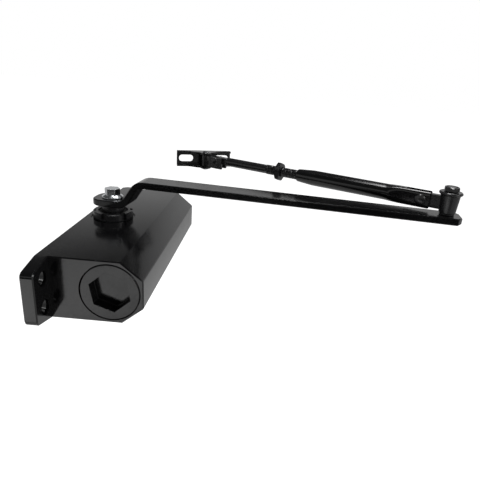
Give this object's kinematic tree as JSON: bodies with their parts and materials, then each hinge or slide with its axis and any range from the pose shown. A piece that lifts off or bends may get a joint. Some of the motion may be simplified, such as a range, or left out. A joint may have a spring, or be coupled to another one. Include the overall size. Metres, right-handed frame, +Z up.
{
  "type": "overhead door closer",
  "caption": "Surface-mounted overhead door closer: a sprung, oil-damped rack-and-pinion cylinder that turns a folding two-part arm to swing a door shut.",
  "frame": {"origin": "middle of the face that lies against the door", "axes": "+Y points into the door and -Y out into the room, +X runs along the body towards the end with the regulating screws, +Z is up along the pinion"},
  "size_m": [0.2016, 0.2691, 0.0926],
  "materials": {
    "black_casting": "gloss black powder coat over die-cast aluminium",
    "black_paint": "gloss black powder coat",
    "black_steel": "black plated steel",
    "chrome": "bright plated",
    "bright_steel": "ground steel",
    "spring_steel": "oil-tempered wire",
    "cast_iron": "machined",
    "bronze": "sintered bronze",
    "rubber": "matt",
    "nylon": "satin"
  },
  "bodies": {
    "base": {"housing": "black_casting", "plug_near": "black_paint", "plug_near_oring": "rubber", "plug_far": "black_paint", "plug_far_oring": "rubber", "spring": "spring_steel", "spring_seat": "bright_steel", "bearing_nut": "black_steel", "upper_bearing": "bronze", "pinion_seal": "rubber", "lower_bearing": "bronze", "dust_cap": "nylon"},
    "piston": {"piston": "cast_iron", "piston_seal_near": "rubber", "piston_seal_far": "rubber", "check_ball": "bright_steel"},
    "closing_valve": {"closing_speed_screw": "bright_steel"},
    "latching_valve": {"latching_speed_screw": "bright_steel"},
    "arm": {"pinion": "bright_steel", "main_arm": "black_paint", "arm_bolt": "chrome", "elbow_stud": "black_steel", "elbow_spacer": "black_steel", "elbow_disc": "black_steel", "elbow_nut": "black_steel"},
    "elbow": {"elbow_knuckle": "black_steel"},
    "forearm": {"forearm_tube": "black_paint", "elbow_rivet": "black_steel"},
    "rod": {"adjusting_rod": "black_steel"},
    "jam_nut": {"lock_nut": "black_steel"},
    "swivel": {"swivel_knuckle": "black_steel", "swivel_rivet": "black_steel"},
    "frame_bracket": {"bracket": "black_paint", "bracket_pin": "bright_steel"}
  },
  "joints": [
    {"name": "arm_turn", "type": "hinge", "parent": "base", "child": "arm", "pos_m": [0, -0.02, 0.0263], "axis": [0, 0, 1], "range_deg": [0, 180], "stiffness_Nm_per_rad": 1.2, "springref_deg": -85.94},
    {"name": "piston_travel", "type": "slide", "parent": "base", "child": "piston", "axis": [1, 0, 0], "range_m": [0, 0.03029], "deforming": ["spring"]},
    {"name": "elbow_fold", "type": "hinge", "parent": "arm", "child": "elbow", "pos_m": [-0.02637, -0.25885, 0.06], "axis": [0, 0, 1], "range_deg": [-150, 6]},
    {"name": "forearm_tilt", "type": "hinge", "parent": "elbow", "child": "forearm", "pos_m": [-0.01839, -0.24227, 0.06], "axis": [0.9011, -0.4337, 0], "range_deg": [0, 8]},
    {"name": "rod_length", "type": "slide", "parent": "forearm", "child": "rod", "axis": [0.4337, 0.9011, 0], "range_m": [-0.0065, 0.018]},
    {"name": "jam_nut_run", "type": "slide", "parent": "rod", "child": "jam_nut", "axis": [0.4337, 0.9011, 0], "range_m": [-0.007, 0.009]},
    {"name": "rod_end_tilt", "type": "hinge", "parent": "rod", "child": "swivel", "pos_m": [0.05416, -0.09152, 0.06], "axis": [0.9011, -0.4337, 0], "range_deg": [-8, 8]},
    {"name": "bracket_swivel", "type": "hinge", "parent": "swivel", "child": "frame_bracket", "pos_m": [0.05949, -0.08044, 0.0579], "axis": [0, 0, 1], "range_deg": [-35, 120]},
    {"name": "closing_screw_turn", "type": "hinge", "parent": "base", "child": "closing_valve", "pos_m": [0.0825, -0.017, 0.009], "axis": [1, 0, 0], "range_deg": [-90, 180]},
    {"name": "latching_screw_turn", "type": "hinge", "parent": "base", "child": "latching_valve", "pos_m": [0.0825, -0.017, -0.009], "axis": [1, 0, 0], "range_deg": [-90, 180]}
  ],
  "couplings": [
    {"joint": "piston_travel", "follows": "arm_turn", "m_per_rad": 0.009625}
  ]
}
